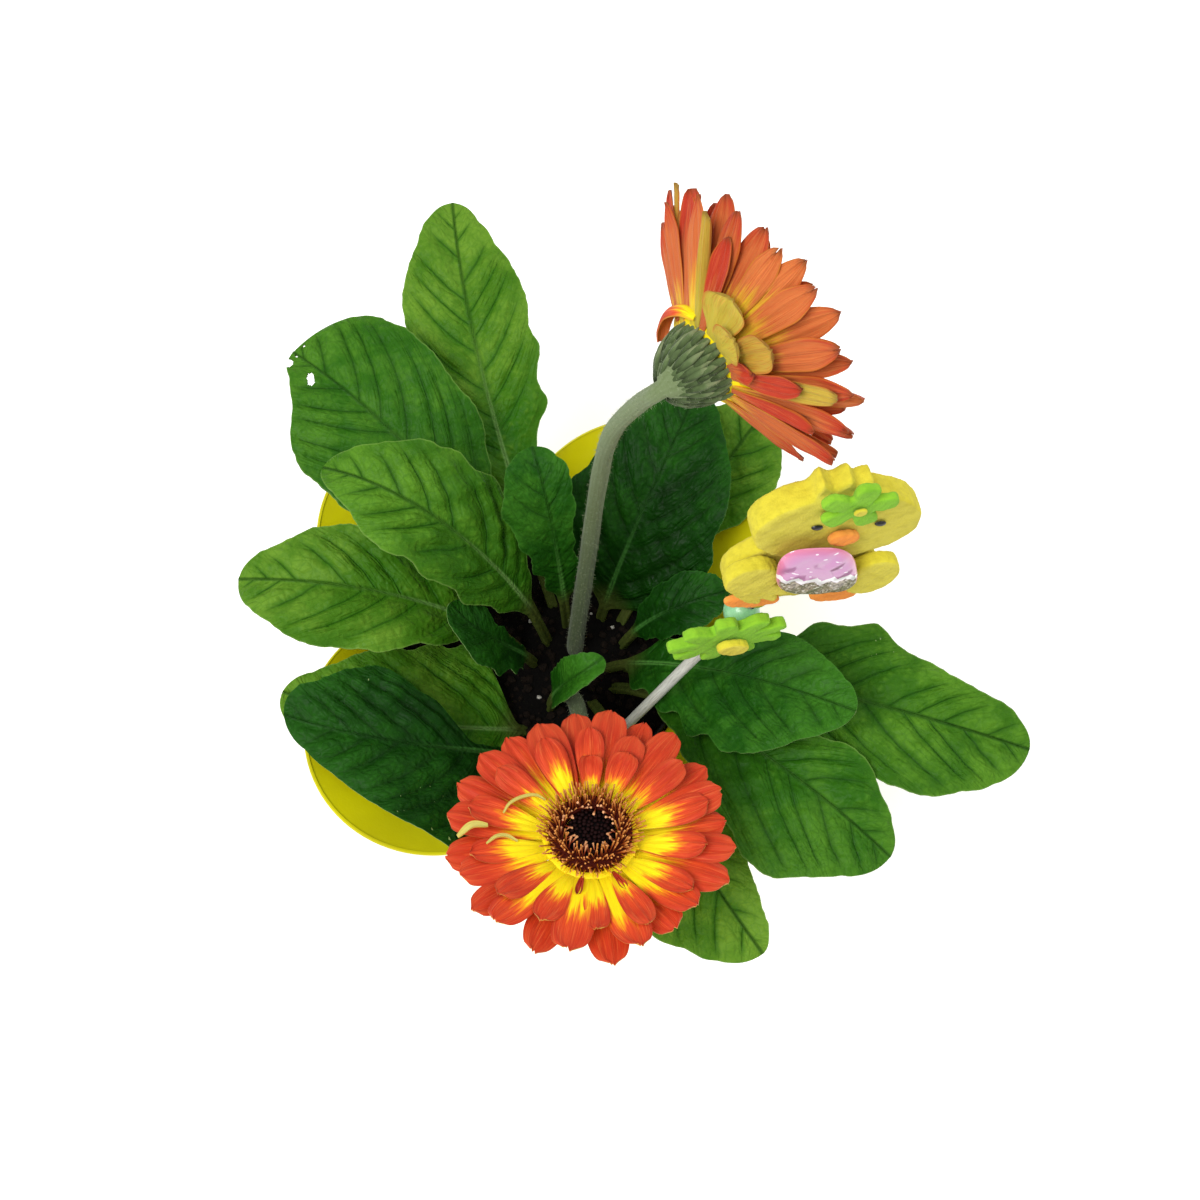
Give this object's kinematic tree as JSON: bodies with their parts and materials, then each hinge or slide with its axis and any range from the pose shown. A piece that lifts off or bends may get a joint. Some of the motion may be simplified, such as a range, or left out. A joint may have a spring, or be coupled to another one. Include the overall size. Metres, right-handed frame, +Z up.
{
  "type": "potted gerbera",
  "caption": "Gerbera daisy in a flared yellow pot: a rosette of lobed green leaves, orange and yellow blooms on downy stems, and a felt chick pick on a thin stick.",
  "frame": {"origin": "centre of the pot cover's flat base, on the surface it stands on", "axes": "+Z up out of the pot, -Y towards the front, where the lower bloom leans out, +X to the right seen from the front"},
  "size_m": [0.255, 0.2663, 0.2897],
  "materials": {
    "cover": "satin",
    "nursery": "matte",
    "soil": "crumbly",
    "leaf": "satin, veined",
    "stem": "downy",
    "petal": "matte, orange-red with a yellow base",
    "floret": "matte",
    "floret_eye": "matte",
    "stick": "painted",
    "felt_yellow": "felt",
    "felt_green": "felt",
    "felt_orange": "felt",
    "egg": "gloss, with a painted white band",
    "bead_green": "gloss",
    "bead_yellow": "gloss",
    "dot_black": "gloss"
  },
  "bodies": {
    "root": {"pot_cover": "cover", "nursery_pot": "nursery", "soil": "soil", "leaf_back": "leaf", "leaf_back_left": "leaf", "leaf_left_high": "leaf", "leaf_centre_back": "leaf", "leaf_left": "leaf", "leaf_left_small": "leaf", "leaf_left_under": "leaf", "leaf_front_left": "leaf", "leaf_front": "leaf", "leaf_front_right": "leaf", "leaf_right": "leaf", "leaf_far_right": "leaf", "leaf_back_right": "leaf", "leaf_behind": "leaf", "leaf_right_small": "leaf", "leaf_young": "leaf", "scape_front": "stem", "scape_back": "stem", "stick": "stick", "chick_body": "felt_yellow", "chick_wing_left": "felt_yellow", "chick_wing_right": "felt_yellow", "chick_foot_left": "felt_orange", "chick_foot_right": "felt_orange", "chick_egg": "egg", "chick_beak": "felt_orange", "chick_eye_left": "dot_black", "chick_eye_right": "dot_black", "head_flower": "felt_green", "head_flower_centre": "felt_yellow", "stick_flower": "felt_green", "stick_flower_centre": "felt_yellow", "bead_mint": "bead_green", "bead_yellow": "bead_yellow", "petals_front": "petal", "florets_front": "floret", "eye_front": "floret_eye", "petals_back": "petal", "florets_back": "floret", "eye_back": "floret_eye"}
  },
  "joints": []
}
